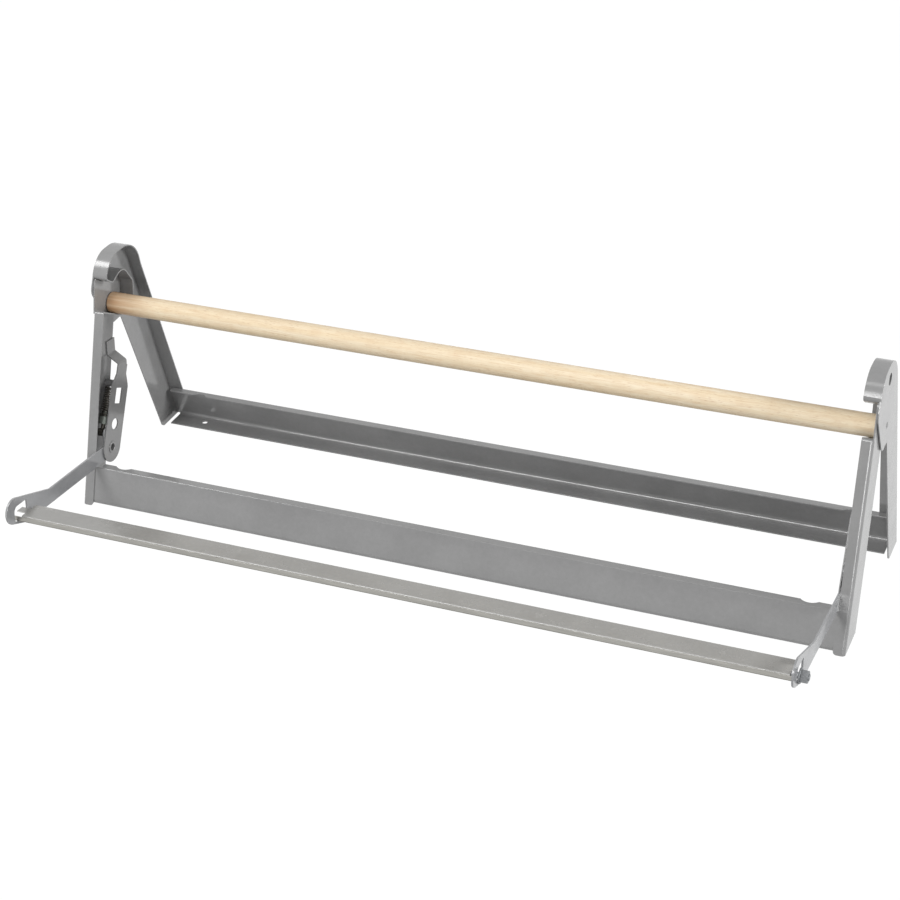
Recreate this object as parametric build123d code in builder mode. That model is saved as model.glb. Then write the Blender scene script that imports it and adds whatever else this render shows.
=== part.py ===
from build123d import *
import math
import os

os.makedirs("parts", exist_ok=True)

# Counter-top paper roll cutter, in millimetres. X runs along the roll, the front is towards -Y,
# Z is up from the counter. The origin is midway between the feet, at the centre of the counter screws.

# Stand
overall_width = 960.0
base_depth = 244.4
stand_height = 293.0
sheet = 1.5
flange_depth = 15.8
hood_flange_depth = 19.3
back_flange_foot_depth = 20.8
back_flange_top_depth = 16.6
nest_gap = 0.6
front_web_width = 46.0
front_web_rise = 6.0
leg_bend_outer = 4.0
foot_round = 4.0

# Y where the faces of the front leg and of the rear leg's back, drawn on, meet the stand's top
front_leg_top_y = -21.3
hood_back_y = 40.4

# Head of the rear leg, outer shape and the hooked pocket for the roll bar.
# Places here and at the roll bar are (Y, distance below the stand's top).
hood_front_radius = 33.5
hood_rear_radius = 41.0
hood_front_top_y = -19.0
nose = (-33.0, 24.0)
nose_radius = 5.0
nose_tip = (-19.5, 33.8)
nose_tip_radius = 3.0
arch_front = (-3.0, 27.3)
arch_front_radius = 10.0
arch_rear = (8.6, 27.5)
arch_rear_radius = 14.0
pocket_back = (25.2, 51.6)
pocket_back_radius = 8.0
pocket_foot = (19.8, 79.0)
lobe_front = (-41.5, 41.0)
lobe_front_radius = 14.0
lobe_low = (-9.0, 99.5)
lobe_low_radius = 16.0
crotch = (15.5, 98.5)
crotch_radius = 5.0
rear_foot_length = 42.0
rear_foot_round = 7.0
hang_hole = (9.5, 18.0)
hang_hole_radius = 7.0
head_rivet_place = (10.7, 75.3)
head_rivet_radius = 2.5
head_rivet_head_radius = 4.0
head_rivet_head_height = 0.9
rivet_ear_radius = 8.0
leg_top_clearance = 0.5
web_top_gap = 6.0

# Roll bar and the cradle that it rests in
bar_radius = 13.0
bar_place = (-5.0, 69.5)
bar_end_gap = 0.5
bar_chamfer = 1.5
cradle_clearance = 0.3
ledge_slope = 29.3
ledge_fold_radius = 2.5
cradle_rear_angle = -38.0
web_nose_front = (-35.5, 30.0)

# Rails
rail_height = 46.0
rail_flange = 29.0
rail_lip = 9.5
rail_low_bend = 4.75
rail_high_bend = 1.8
front_rail_end_gap = 2.8
rear_rail_end_gap = 6.0
lip_arm_gap = 4.9
screw_inset_x = 50.0
screw_inset_y = 16.2
screw_hole_radius = 3.5
scallop_depth = 4.5
scallop_radius = 14.0

# Cutter arms, in the arm's own frame: u runs forward from the pivot, w is upward.
# What is named ahead or behind is that far along u from the tension stud's centre.
pivot = (-70.0, 56.2)
arm_tilt = 5.0
arm_thickness = 2.2
arm_side_gap = 0.6
arm_top = 6.7
arm_rest_gap = 0.3
arm_bend_behind = 64.8
head_centre_ahead = 9.6
head_centre_w = 12.4
head_radius = 16.0
head_heel_behind = 13.8
slot_behind = 15.8
slot_ahead = 9.7
slot_low_w = -3.2
slot_high_w = 16.2
slot_radii = (3.0, 5.0, 6.5, 1.0)
arm_eye_radius = 14.0
crank_ear_radius = 7.0

# Spring bracket
bracket_tilt = 27.0
bracket_gap = 0.5
bracket_half_width = 19.0
bracket_shoulder = 77.0
bracket_neck_height = 92.0
bracket_neck_half_width = 11.0
bracket_window = (13.6, 19.5)
bracket_window_place = (-1.0, 64.5)
bracket_hole_radius = 7.0
bracket_hole_place = (-1.0, 29.0)
joggle_lean = 6.0
joggle_width = 18.0
joggle_rise = 9.5
tab_length = 17.5
joggle_bend = 3.0
joggle_height = 104.0
joggle_start = 3.0
bracket_shoulder_radius = 10.0
bracket_neck_radius = 6.0
bracket_top_radius = 0.5

# Hollow pivot rivet
eyelet_radius = 5.8
eyelet_bore = 4.4
eyelet_rim_radius = 7.6
eyelet_rim = 0.8
running_clearance = 0.05
side_clearance = 0.15

# Over-centre spring
spring_side_gap = 0.55
anchor_place = (-38.3, 128.2)
crank_place = (-74.3, 78.0)
pin_radius = 2.5
collar_radius = 4.5
pin_end_gap = 0.5
spring_end_gap = 0.1
seat_radius = 7.0
seat_start = 10.0
seat_length = 9.4
seat_neck_radius = 2.7
seat_stub_radius = 4.6
seat_stub_length = 7.0
seat_eye_thickness = 6.0
seat_eye_radius = 5.0
crank_collar_radius = 4.0
crank_collar_gap = 0.3
spring_outer_radius = 7.0
spring_wire_radius = 0.9
spring_turns = 14

# Blade bar, in the arm's frame
holder_sheet = 1.2
holder_behind = 24.8
holder_ahead = 5.5
holder_top_w = 5.6
holder_low_w = 0.0
holder_bend = 1.3
holder_arm_gap = 5.9
tab_behind = 14.6
tab_width = 11.3
tab_stand_out = 3.9
blade_thickness = 0.8
blade_low_w = -1.8
blade_high_w = 4.4
blade_left_stand_out = 2.4
blade_right_gap = 1.0
blade_edge_bevel = 0.5
blade_edge_height = 1.0

# Tension stud at the right end
stud_radius = 3.5
stud_u = 203.8
stud_w = 3.2
stud_holder_gap = 0.4
stud_stand_out = 1.1
spade_width = 7.4
spade_thickness = 1.6
spade_length = 25.5
spade_overlap = 3.0
washer_radius = 8.5
washer_thickness = 2.0
washer_gap = 0.3
nut_across_flats = 13.0
nut_thickness = 7.5
thread_clearance = 0.05

# Worked-out places
half_width = overall_width / 2
foot_y = base_depth / 2
flange_edge_x = half_width - flange_depth
hood_edge_x = half_width - hood_flange_depth
front_web_outer_x = half_width - sheet - nest_gap
front_web_inner_x = front_web_outer_x - sheet
arm_outer_x = flange_edge_x - arm_side_gap
arm_inner_x = arm_outer_x - arm_thickness
bracket_outer_x = arm_inner_x - bracket_gap
bracket_inner_x = bracket_outer_x - sheet
spring_line_x = front_web_inner_x - spring_side_gap - spring_outer_radius
holder_half_length = arm_inner_x - holder_arm_gap
tab_reach = arm_outer_x + tab_stand_out
blade_left_reach = arm_outer_x + blade_left_stand_out
blade_right_reach = arm_inner_x - blade_right_gap
washer_outer_x = arm_outer_x + washer_gap + washer_thickness
stud_start = holder_half_length + stud_holder_gap
stud_end = washer_outer_x + nut_thickness + stud_stand_out
spade_start = holder_half_length - spade_length
lip_end_cut = arm_inner_x - lip_arm_gap
screw_spacing_x = overall_width - 2 * screw_inset_x
screw_spacing_y = base_depth - 2 * screw_inset_y
front_tan = (foot_y + front_leg_top_y) / stand_height
front_cos = math.cos(math.atan(front_tan))
rear_tan = (foot_y - hood_back_y) / stand_height
rear_cos = math.cos(math.atan(rear_tan))
arm_tan = math.tan(math.radians(arm_tilt))
arm_cos = math.cos(math.radians(arm_tilt))
arm_sin = math.sin(math.radians(arm_tilt))
arm_bend_u = stud_u - arm_bend_behind
head_centre = (stud_u + head_centre_ahead, head_centre_w)
head_heel_u = stud_u - head_heel_behind
slot_rear_u = stud_u - slot_behind
slot_front_u = stud_u + slot_ahead
holder_rear_u = stud_u - holder_behind
holder_front_u = stud_u + holder_ahead
tab_rear_u = stud_u - tab_behind
tab_front_u = tab_rear_u + tab_width


def front_line(z, depth):
    """Y of the front leg's face at height z, a distance depth behind its front surface."""
    return -foot_y + z * front_tan + depth / front_cos


def rear_line(z, depth):
    """Y of the rear leg's back at height z, a distance depth in front of its rear surface."""
    return foot_y - z * rear_tan - depth / rear_cos


def from_top(place):
    """Turns (Y, distance below the stand's top) into (Y, Z)."""
    return (place[0], stand_height - place[1])


def side_plane(x):
    """Sketch plane across the stand at x, with its own axes along Y and Z."""
    return Plane(origin=(x, 0, 0), x_dir=(0, 1, 0), z_dir=(1, 0, 0))


def arm_plane(x):
    """Sketch plane at x in the arm's frame: u forward from the pivot, w upward, normal towards -X."""
    return Plane(origin=(x, pivot[0], pivot[1]), x_dir=(0, -arm_cos, arm_sin), z_dir=(-1, 0, 0))


def to_arm(place):
    """Turns a (Y, Z) place into the arm's (u, w)."""
    forward = pivot[0] - place[0]
    up = place[1] - pivot[1]
    return (forward * arm_cos + up * arm_sin, up * arm_cos - forward * arm_sin)


# The arm's lower edge rests a named gap above the front rail's top
rail_web_depth = 1.5 * sheet
rail_top_y = front_line(rail_height, rail_web_depth)
arm_centre_z = pivot[1] + (pivot[0] - rail_top_y) * arm_tan
arm_bottom = -(arm_centre_z - rail_height - arm_rest_gap) * arm_cos

bar_axis = from_top(bar_place)
web_nose = from_top(web_nose_front)

# Rear leg path: pocket wall, arch, nose, rim over the top and down the back, as the sheet's middle
below_floor = -3.0
rim_top = stand_height - sheet / 2
rear_foot_front = (foot_y - rear_foot_length, 0)
rear_foot_back = (rear_line(below_floor, sheet / 2), below_floor)
hood_front_top = (hood_front_top_y, rim_top)
hood_rear_top = (rear_line(rim_top, sheet / 2), rim_top)
back_flange_z = stand_height - hood_rear_radius
back_flange_top = (rear_line(back_flange_z, sheet / 2), back_flange_z)
pocket_places = (pocket_foot, pocket_back, arch_rear, arch_front, nose_tip, nose)
pocket_points = [from_top(place) for place in pocket_places]
pocket_radii = [pocket_back_radius, arch_rear_radius, arch_front_radius, nose_tip_radius]
rim_points = [*pocket_points, hood_front_top, hood_rear_top, rear_foot_back]
rim_radii = [*pocket_radii, nose_radius, hood_front_radius, hood_rear_radius]

# Cradle: the front leg's flange turns rearward and runs under the roll bar
cradle_radius = bar_radius + cradle_clearance + sheet / 2
cradle_start_angle = -90.0 - ledge_slope
cradle_sweep = cradle_rear_angle - cradle_start_angle
slope_cos = math.cos(math.radians(ledge_slope))
slope_sin = math.sin(math.radians(ledge_slope))
ledge_end = (bar_axis[0] - cradle_radius * slope_sin, bar_axis[1] - cradle_radius * slope_cos)
ledge_run = ledge_end[0] - front_line(ledge_end[1], sheet / 2)
ledge_length = ledge_run / (slope_cos + slope_sin * front_tan)
ledge_corner = (ledge_end[0] - ledge_length * slope_cos, ledge_end[1] + ledge_length * slope_sin)
web_top = stand_height - web_top_gap

# The front leg's long bend, from below the floor up to the ledge's fold
leg_bend_inner = leg_bend_outer - sheet
leg_direction = (0, front_tan * front_cos, front_cos)
bend_length = (ledge_corner[1] - ledge_fold_radius - below_floor) / front_cos

# Spring axis and the places along it
spring_span = math.dist(anchor_place, crank_place)
spring_axis = (
    (crank_place[0] - anchor_place[0]) / spring_span,
    (crank_place[1] - anchor_place[1]) / spring_span,
)
spring_centre_radius = spring_outer_radius - spring_wire_radius
spring_start = collar_radius + spring_end_gap + spring_wire_radius
spring_stop = spring_span - seat_start - seat_length - spring_end_gap - spring_wire_radius

# Bracket's own frame: its x runs to the rear edge and its y up along the hanger
hang_cos = math.cos(math.radians(bracket_tilt))
hang_sin = math.sin(math.radians(bracket_tilt))
lean_cos = math.cos(math.radians(joggle_lean))
lean_sin = math.sin(math.radians(joggle_lean))
joggle_y = pivot[0] + joggle_height * hang_sin
joggle_z = pivot[1] + joggle_height * hang_cos


def in_bracket(place):
    """Turns a (Y, Z) place into the bracket's own x and y."""
    back = place[0] - pivot[0]
    up = place[1] - pivot[1]
    return (back * hang_cos - up * hang_sin, back * hang_sin + up * hang_cos)


def finish(part, name):
    """Labels a finished piece and writes it."""
    part.label = name
    export_step(part, f"parts/{name}.step")


# Rear leg: outer plate with the hood head, and one flange from the foot round to the pocket's wall
with BuildPart() as rear_leg_blank:
    with BuildSketch(side_plane(half_width)):
        with BuildLine():
            rim = FilletPolyline(
                rear_foot_back, hood_rear_top, hood_front_top, from_top(nose), from_top(lobe_front),
                from_top(lobe_low), from_top(crotch), rear_foot_front, (rear_line(0, sheet), 0),
                radius=[
                    hood_rear_radius, hood_front_radius, nose_radius, lobe_front_radius,
                    lobe_low_radius, crotch_radius, rear_foot_round,
                ],
            )
            Line(rim @ 1, rear_foot_back)
        make_face()
        with BuildLine():
            FilletPolyline(*rim_points, radius=rim_radii)
        trace(line_width=sheet)
    extrude(amount=-sheet)
    with BuildSketch(side_plane(half_width)):
        with BuildLine():
            FilletPolyline(*rim_points, radius=rim_radii)
        trace(line_width=sheet)
    extrude(amount=-hood_flange_depth)
    with BuildSketch(side_plane(half_width)):
        with BuildLine():
            Line(back_flange_top, rear_foot_back)
        trace(line_width=sheet)
    extrude(amount=-back_flange_foot_depth)
    with BuildSketch(Plane.XZ.offset(-pocket_back[0] - sheet)):
        with BuildLine():
            Polyline(
                (half_width - back_flange_foot_depth, 0),
                (half_width - back_flange_top_depth, back_flange_top[1]),
                (hood_edge_x, rim_top),
                (0, rim_top),
                (0, 0),
                close=True,
            )
        make_face()
    extrude(amount=-foot_y, mode=Mode.SUBTRACT)
    with BuildSketch(side_plane(half_width)):
        with Locations(from_top(head_rivet_place)):
            Circle(head_rivet_radius)
    extrude(amount=-sheet, mode=Mode.SUBTRACT)
    split(bisect_by=Plane.XY)

# Only the right leg has the round hole in its hood
with BuildPart() as right_rear_leg:
    add(rear_leg_blank.part)
    with BuildSketch(side_plane(half_width)):
        with Locations(from_top(hang_hole)):
            Circle(hang_hole_radius)
    extrude(amount=-sheet, mode=Mode.SUBTRACT)

# Front leg: web inside the hood, front flange and the cradle at the flange's top
with BuildPart() as right_front_leg:
    with BuildSketch(side_plane(front_web_outer_x)) as web_face:
        with BuildLine():
            Polyline(
                (front_line(below_floor, 0), below_floor),
                (front_line(below_floor, front_web_width), below_floor),
                (front_line(front_web_rise, front_web_width), front_web_rise),
                (front_line(web_top, front_web_width), web_top),
                (web_nose[0] + web_top - web_nose[1], web_top),
                web_nose,
                (front_line(ledge_corner[1], 0), ledge_corner[1]),
                close=True,
            )
        make_face()
        with BuildLine():
            FilletPolyline(*pocket_points, hood_front_top, radius=[*pocket_radii, nose_radius])
        trace(line_width=sheet + 2 * leg_top_clearance, mode=Mode.SUBTRACT)
        add(web_face.faces().sort_by(SortBy.AREA)[-1], mode=Mode.REPLACE)
        with Locations(from_top(head_rivet_place)):
            Circle(rivet_ear_radius)
            Circle(head_rivet_radius, mode=Mode.SUBTRACT)
    extrude(amount=-sheet)
    with BuildSketch(side_plane(front_web_outer_x)):
        with BuildLine():
            FilletPolyline(
                (front_line(below_floor, sheet / 2), below_floor), ledge_corner, ledge_end,
                radius=ledge_fold_radius,
            )
            CenterArc(bar_axis, cradle_radius, cradle_start_angle, cradle_sweep)
        trace(line_width=sheet)
    extrude(amount=flange_edge_x - front_web_outer_x)
    with BuildSketch(Plane.XY.offset(below_floor)):
        with Locations((front_web_outer_x, front_line(below_floor, 0))):
            Rectangle(leg_bend_outer, leg_bend_outer, align=(Align.MAX, Align.MIN))
        with Locations(
            (front_web_outer_x - leg_bend_outer, front_line(below_floor, 0) + leg_bend_outer)
        ):
            Circle(leg_bend_outer, mode=Mode.SUBTRACT)
    extrude(amount=bend_length, dir=leg_direction, mode=Mode.SUBTRACT)
    with BuildSketch(Plane.XY.offset(below_floor)):
        with Locations((front_web_inner_x, front_line(below_floor, sheet))):
            Rectangle(leg_bend_inner, leg_bend_inner, align=(Align.MAX, Align.MIN))
        with Locations(
            (front_web_inner_x - leg_bend_inner, front_line(below_floor, sheet) + leg_bend_inner)
        ):
            Circle(leg_bend_inner, mode=Mode.SUBTRACT)
    extrude(amount=bend_length, dir=leg_direction)
    split(bisect_by=Plane.XY)
    foot_corner = right_front_leg.edges().group_by(Axis.Z)[0].filter_by(Axis.Y).sort_by(Axis.X)[0]
    fillet(foot_corner, radius=foot_round)


finish(right_rear_leg.part, "right_rear_leg")
finish(right_front_leg.part, "right_front_leg")

with BuildPart() as left_rear_leg:
    mirror(rear_leg_blank.part, about=Plane.YZ)
finish(left_rear_leg.part, "left_rear_leg")

with BuildPart() as left_front_leg:
    mirror(right_front_leg.part, about=Plane.YZ)
finish(left_front_leg.part, "left_front_leg")


def rail_points(line, inward):
    """Middle line of a rail: foot flange, web and lip. inward is +1 for the front rail, -1 for the rear."""
    low_z = sheet / 2
    high_z = rail_height - sheet / 2
    low_y = line(low_z, rail_web_depth)
    high_y = line(high_z, rail_web_depth)
    return [
        (low_y + inward * rail_flange, low_z),
        (low_y, low_z),
        (high_y, high_z),
        (high_y + inward * rail_lip, high_z),
    ]


# Front rail: foot flange, web against the legs' front flanges, and a lip that stops short of the arms
front_rail_half = front_web_inner_x - front_rail_end_gap
with BuildPart() as front_rail:
    points = rail_points(front_line, 1)
    with BuildSketch(Plane.YZ):
        with BuildLine():
            FilletPolyline(*points, radius=[rail_low_bend, rail_high_bend])
        trace(line_width=sheet)
    extrude(amount=lip_end_cut, both=True)
    with BuildSketch(Plane.YZ):
        with BuildLine():
            FilletPolyline(*points[:3], radius=rail_low_bend)
        trace(line_width=sheet)
    extrude(amount=front_rail_half, both=True)
    with BuildSketch(Plane.XY):
        with Locations(
            (-screw_spacing_x / 2, -screw_spacing_y / 2),
            (screw_spacing_x / 2, -screw_spacing_y / 2),
        ):
            Circle(screw_hole_radius)
    extrude(amount=2 * sheet, mode=Mode.SUBTRACT)
    with BuildSketch(Plane.XY.offset(rail_height)):
        with Locations(
            (-screw_spacing_x / 2, points[3][0] + scallop_radius - scallop_depth),
            (screw_spacing_x / 2, points[3][0] + scallop_radius - scallop_depth),
        ):
            Circle(scallop_radius)
    extrude(amount=-2 * sheet, mode=Mode.SUBTRACT)
finish(front_rail.part, "front_rail")

# Rear rail: the same section facing forward, against the rear legs' back flanges
rear_rail_half = half_width - sheet - rear_rail_end_gap
with BuildPart() as rear_rail:
    points = rail_points(rear_line, -1)
    with BuildSketch(Plane.YZ):
        with BuildLine():
            FilletPolyline(*points, radius=[rail_low_bend, rail_high_bend])
        trace(line_width=sheet)
    extrude(amount=rear_rail_half, both=True)
    with BuildSketch(Plane.XY):
        with Locations(
            (-screw_spacing_x / 2, screw_spacing_y / 2),
            (screw_spacing_x / 2, screw_spacing_y / 2),
        ):
            Circle(screw_hole_radius)
    extrude(amount=2 * sheet, mode=Mode.SUBTRACT)
    with BuildSketch(Plane.XY.offset(rail_height)):
        with Locations(
            (-screw_spacing_x / 2, points[3][0] - scallop_radius + scallop_depth),
            (screw_spacing_x / 2, points[3][0] - scallop_radius + scallop_depth),
        ):
            Circle(scallop_radius)
    extrude(amount=-2 * sheet, mode=Mode.SUBTRACT)
finish(rear_rail.part, "rear_rail")

# Roll bar: a turned dowel with eased ends
with BuildPart() as roll_bar:
    with BuildSketch(Plane.YZ):
        with Locations(bar_axis):
            Circle(bar_radius)
    extrude(amount=front_web_inner_x - bar_end_gap, both=True)
    chamfer(roll_bar.edges().filter_by(GeomType.CIRCLE), bar_chamfer)
finish(roll_bar.part, "roll_bar")

# Head rivets: from the front leg's ear through the rear leg's plate
with BuildPart() as right_head_rivet:
    with BuildSketch(side_plane(front_web_inner_x)):
        with Locations(from_top(head_rivet_place)):
            Circle(head_rivet_radius)
    extrude(amount=half_width - front_web_inner_x)
    with BuildSketch(side_plane(front_web_inner_x)):
        with Locations(from_top(head_rivet_place)):
            Circle(head_rivet_head_radius)
    extrude(amount=-head_rivet_head_height)
    with BuildSketch(side_plane(half_width)):
        with Locations(from_top(head_rivet_place)):
            Circle(head_rivet_head_radius)
    extrude(amount=head_rivet_head_height)
finish(right_head_rivet.part, "right_head_rivet")

with BuildPart() as left_head_rivet:
    mirror(right_head_rivet.part, about=Plane.YZ)
finish(left_head_rivet.part, "left_head_rivet")

# Spring bracket: hanger with its window and holes, joggled at the top onto the leg's web
bracket_plane = Plane(
    origin=(bracket_inner_x, pivot[0], pivot[1]), x_dir=(0, hang_cos, -hang_sin), z_dir=(1, 0, 0)
)
joggle_plane = Plane(
    origin=(0, joggle_y, joggle_z), x_dir=(1, 0, 0), z_dir=(0, -lean_cos, lean_sin)
)
with BuildPart() as right_spring_bracket:
    with BuildSketch(bracket_plane):
        with BuildLine():
            FilletPolyline(
                (-bracket_half_width, 0),
                (-bracket_half_width, bracket_shoulder),
                (-bracket_neck_half_width, bracket_neck_height),
                (-bracket_neck_half_width, joggle_height),
                (bracket_neck_half_width, joggle_height),
                (bracket_neck_half_width, bracket_neck_height),
                (bracket_half_width, bracket_shoulder),
                (bracket_half_width, 0),
                radius=[
                    bracket_shoulder_radius, bracket_neck_radius, bracket_top_radius,
                    bracket_top_radius, bracket_neck_radius, bracket_shoulder_radius,
                ],
            )
            CenterArc((0, 0), bracket_half_width, 0, -180)
        make_face()
        with Locations(bracket_window_place):
            Rectangle(*bracket_window, mode=Mode.SUBTRACT)
        with Locations(bracket_hole_place):
            Circle(bracket_hole_radius, mode=Mode.SUBTRACT)
        Circle(eyelet_radius, mode=Mode.SUBTRACT)
        with Locations(in_bracket(anchor_place)):
            Circle(pin_radius, mode=Mode.SUBTRACT)
    extrude(amount=sheet)
    with BuildSketch(joggle_plane):
        with BuildLine():
            FilletPolyline(
                (bracket_inner_x + sheet / 2, -joggle_start),
                (bracket_inner_x + sheet / 2, joggle_start),
                (front_web_inner_x - sheet / 2, joggle_start + joggle_rise),
                (front_web_inner_x - sheet / 2, joggle_start + joggle_rise + tab_length),
                radius=joggle_bend,
            )
        trace(line_width=sheet)
    extrude(amount=joggle_width / 2, both=True)
finish(right_spring_bracket.part, "right_spring_bracket")

with BuildPart() as left_spring_bracket:
    mirror(right_spring_bracket.part, about=Plane.YZ)
finish(left_spring_bracket.part, "left_spring_bracket")

# Anchor pin: shank in the bracket, thick post up to the leg's web
with BuildPart() as right_anchor_pin:
    with BuildSketch(side_plane(bracket_inner_x)):
        with Locations(anchor_place):
            Circle(pin_radius)
    extrude(amount=sheet)
    with BuildSketch(side_plane(bracket_outer_x)):
        with Locations(anchor_place):
            Circle(collar_radius)
    extrude(amount=front_web_inner_x - bracket_outer_x)
finish(right_anchor_pin.part, "right_anchor_pin")

with BuildPart() as left_anchor_pin:
    mirror(right_anchor_pin.part, about=Plane.YZ)
finish(left_anchor_pin.part, "left_anchor_pin")

# Pivot eyelet: hollow rivet through bracket and arm, flanged at both ends
eyelet_start = bracket_inner_x - eyelet_rim
eyelet_end = arm_outer_x + side_clearance
with BuildPart() as right_pivot_eyelet:
    with BuildSketch(side_plane(eyelet_start)):
        with Locations(pivot):
            Circle(eyelet_radius)
    extrude(amount=eyelet_end + eyelet_rim - eyelet_start)
    with BuildSketch(side_plane(eyelet_start), side_plane(eyelet_end)):
        with Locations(pivot):
            Circle(eyelet_rim_radius)
    extrude(amount=eyelet_rim)
    with BuildSketch(side_plane(eyelet_start)):
        with Locations(pivot):
            Circle(eyelet_bore)
    extrude(amount=eyelet_end + eyelet_rim - eyelet_start, mode=Mode.SUBTRACT)
finish(right_pivot_eyelet.part, "right_pivot_eyelet")

with BuildPart() as left_pivot_eyelet:
    mirror(right_pivot_eyelet.part, about=Plane.YZ)
finish(left_pivot_eyelet.part, "left_pivot_eyelet")

# Blade arm: eye round the pivot, ear round the crank pin, straight bar, hooked head with its slot
crank_in_arm = to_arm(crank_place)
with BuildPart() as right_blade_arm:
    with BuildSketch(arm_plane(arm_outer_x)):
        with BuildSketch():
            with BuildLine():
                CenterArc((0, 0), arm_eye_radius, 0, 360)
                CenterArc(crank_in_arm, crank_ear_radius, 0, 360)
            make_hull()
        with BuildSketch():
            with BuildLine():
                Polyline(
                    (0, arm_bottom), (arm_bend_u, arm_bottom), (arm_bend_u, arm_top), (0, arm_top),
                    close=True,
                )
            make_face()
        with BuildSketch():
            with BuildLine():
                Polyline((arm_bend_u, arm_top), (arm_bend_u, arm_bottom), (head_heel_u, arm_bottom))
                CenterArc(head_centre, head_radius, 0, 360)
            make_hull()
        with BuildSketch(mode=Mode.SUBTRACT):
            with BuildLine():
                FilletPolyline(
                    (slot_rear_u, slot_low_w),
                    (slot_front_u, slot_low_w),
                    (slot_front_u, slot_high_w),
                    (slot_rear_u, slot_high_w),
                    close=True,
                    radius=slot_radii,
                )
            make_face()
        Circle(eyelet_radius + running_clearance, mode=Mode.SUBTRACT)
        with Locations(crank_in_arm):
            Circle(pin_radius, mode=Mode.SUBTRACT)
    extrude(amount=arm_thickness)
finish(right_blade_arm.part, "right_blade_arm")

with BuildPart() as left_blade_arm:
    mirror(right_blade_arm.part, about=Plane.YZ)
finish(left_blade_arm.part, "left_blade_arm")

# Crank pin: riveted in the arm, with a shoulder and a head on either side of the spring seat's eye
seat_inner_x = spring_line_x - seat_eye_thickness / 2
seat_outer_x = spring_line_x + seat_eye_thickness / 2
pin_end_x = front_web_inner_x - pin_end_gap
with BuildPart() as right_crank_pin:
    with BuildSketch(side_plane(arm_inner_x)):
        with Locations(crank_place):
            Circle(pin_radius)
    extrude(amount=pin_end_x - arm_inner_x)
    with BuildSketch(side_plane(arm_outer_x)):
        with Locations(crank_place):
            Circle(crank_collar_radius)
    extrude(amount=seat_inner_x - crank_collar_gap - arm_outer_x)
    with BuildSketch(side_plane(seat_outer_x + crank_collar_gap)):
        with Locations(crank_place):
            Circle(crank_collar_radius)
    extrude(amount=pin_end_x - seat_outer_x - crank_collar_gap)
finish(right_crank_pin.part, "right_crank_pin")

with BuildPart() as left_crank_pin:
    mirror(right_crank_pin.part, about=Plane.YZ)
finish(left_crank_pin.part, "left_crank_pin")

# Spring seat: eye on the crank pin, neck, shoulder that the spring stands on, stub inside the spring
seat_plane = Plane(
    origin=(spring_line_x, crank_place[0], crank_place[1]),
    x_dir=(1, 0, 0),
    z_dir=(0, -spring_axis[0], -spring_axis[1]),
)
with BuildPart() as right_spring_seat:
    with BuildSketch(side_plane(seat_inner_x)):
        with Locations(crank_place):
            Circle(seat_eye_radius)
    extrude(amount=seat_eye_thickness)
    with BuildSketch(seat_plane):
        Circle(seat_neck_radius)
    extrude(amount=seat_start)
    with BuildSketch(seat_plane.offset(seat_start)):
        Circle(seat_radius)
    extrude(amount=seat_length)
    with BuildSketch(seat_plane.offset(seat_start + seat_length)):
        Circle(seat_stub_radius)
    extrude(amount=seat_stub_length)
    with BuildSketch(side_plane(seat_inner_x)):
        with Locations(crank_place):
            Circle(pin_radius + running_clearance)
    extrude(amount=seat_eye_thickness, mode=Mode.SUBTRACT)
finish(right_spring_seat.part, "right_spring_seat")

with BuildPart() as left_spring_seat:
    mirror(right_spring_seat.part, about=Plane.YZ)
finish(left_spring_seat.part, "left_spring_seat")

# Coil spring: a helix from the anchor pin to the seat, each quarter turn drawn as two tangent arcs
helix_rise = (spring_stop - spring_start) / spring_turns
helix_slope = helix_rise / (2 * math.pi)
spring_side = Vector(1, 0, 0)
spring_along = Vector(0, spring_axis[0], spring_axis[1])
spring_up = spring_along.cross(spring_side)
spring_foot = Vector(spring_line_x, anchor_place[0], anchor_place[1])


def helix_point(angle):
    """Place on the helix, angle in radians from the anchor pin's end."""
    round_part = spring_side * math.cos(angle) + spring_up * math.sin(angle)
    along_part = spring_along * (spring_start + helix_slope * angle)
    return spring_foot + round_part * spring_centre_radius + along_part


def helix_heading(angle):
    """Direction of the helix at that angle."""
    round_part = spring_up * math.cos(angle) - spring_side * math.sin(angle)
    return (round_part * spring_centre_radius + spring_along * helix_slope).normalized()


with BuildPart() as right_spring:
    with BuildLine() as coil:
        for quarter in range(4 * spring_turns):
            first = quarter * math.pi / 2
            last = (quarter + 1) * math.pi / 2
            start, start_heading = helix_point(first), helix_heading(first)
            end, end_heading = helix_point(last), helix_heading(last)
            chord = end - start
            both = start_heading + end_heading
            spread = 2 * (1 - start_heading.dot(end_heading))
            along = chord.dot(both)
            reach = (math.sqrt(along ** 2 + spread * chord.dot(chord)) - along) / spread
            middle = (start + end + (start_heading - end_heading) * reach) * 0.5
            middle_heading = (end - end_heading * reach) - (start + start_heading * reach)
            TangentArc(start, middle, tangent=start_heading)
            TangentArc(middle, end, tangent=middle_heading)
    with BuildSketch(Plane(origin=helix_point(0), z_dir=helix_heading(0))):
        Circle(spring_wire_radius)
    sweep(path=coil.wire())
finish(right_spring.part, "right_spring")

with BuildPart() as left_spring:
    mirror(right_spring.part, about=Plane.YZ)
finish(left_spring.part, "left_spring")

# Least gap between the spring's turns, measured on points along it
spring_points = [helix_point(step * math.pi / 12) for step in range(24 * spring_turns + 1)]
least_gap = min(
    (spring_points[a] - spring_points[b]).length - 2 * spring_wire_radius
    for a in range(len(spring_points))
    for b in range(a + 12, min(a + 60, len(spring_points)))
)
print("spring turns", spring_turns, "least gap to itself", round(least_gap, 3), "mm")

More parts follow.
